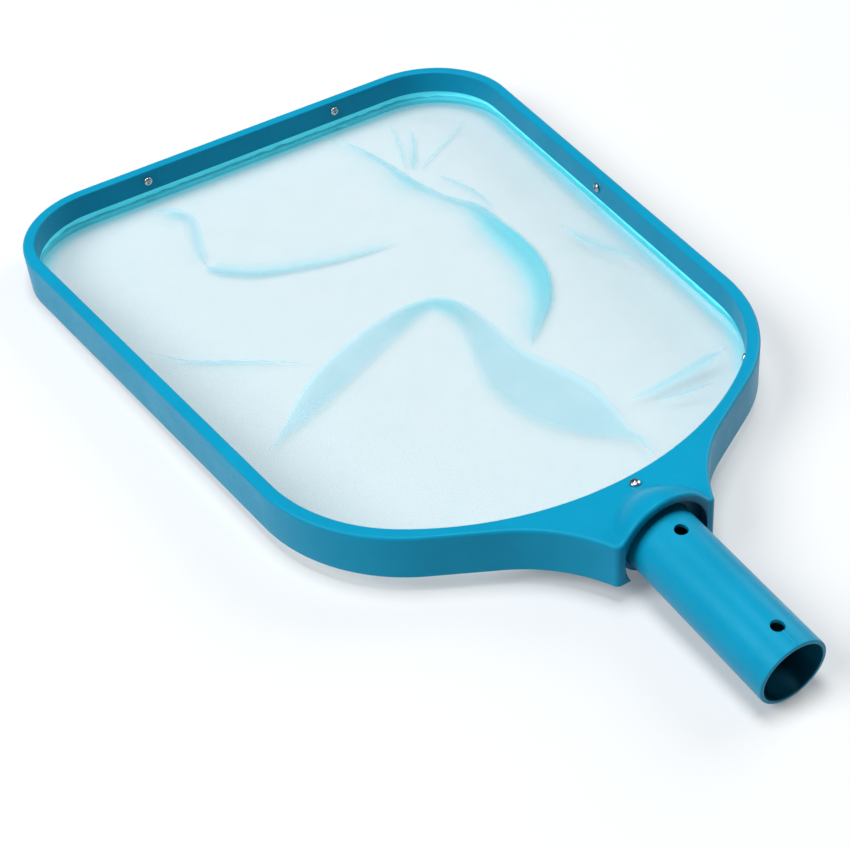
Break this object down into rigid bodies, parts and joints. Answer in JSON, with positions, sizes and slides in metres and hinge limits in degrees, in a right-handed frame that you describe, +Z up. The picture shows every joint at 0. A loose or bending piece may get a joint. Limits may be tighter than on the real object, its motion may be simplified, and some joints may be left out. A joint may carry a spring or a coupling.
{
  "type": "leaf skimmer net",
  "caption": "Flat leaf skimmer: a slack fine net held in a rounded channel frame by a hidden clamp ring, with a hooded, drooping tube socket for a telescopic pool pole.",
  "frame": {"origin": "middle of the bottom of the whole, on the surface that the skimmer rests on", "axes": "+Y from the handle to the front lip, +Z up, +X to the right seen from the handle"},
  "size_m": [0.3, 0.49, 0.0473],
  "materials": {
    "moulding": "satin blue polypropylene, moulded",
    "clamp": "matt blue polypropylene, moulded",
    "net": "very fine pale knitted mesh",
    "hem": "light cyan woven tape",
    "steel": "bright stainless"
  },
  "bodies": {
    "root": {"outer_frame": "moulding", "handle_tube": "moulding", "socket_clamp": "clamp", "net_clamp_ring": "clamp", "net_hem": "hem", "leaf_net": "net", "front_screw_left": "steel", "front_screw_right": "steel", "side_screw_left": "steel", "side_screw_right": "steel", "rear_screw_left": "steel", "rear_screw_right": "steel", "neck_screw": "steel", "socket_clamp_screw_left": "steel", "socket_clamp_screw_right": "steel"}
  },
  "joints": []
}
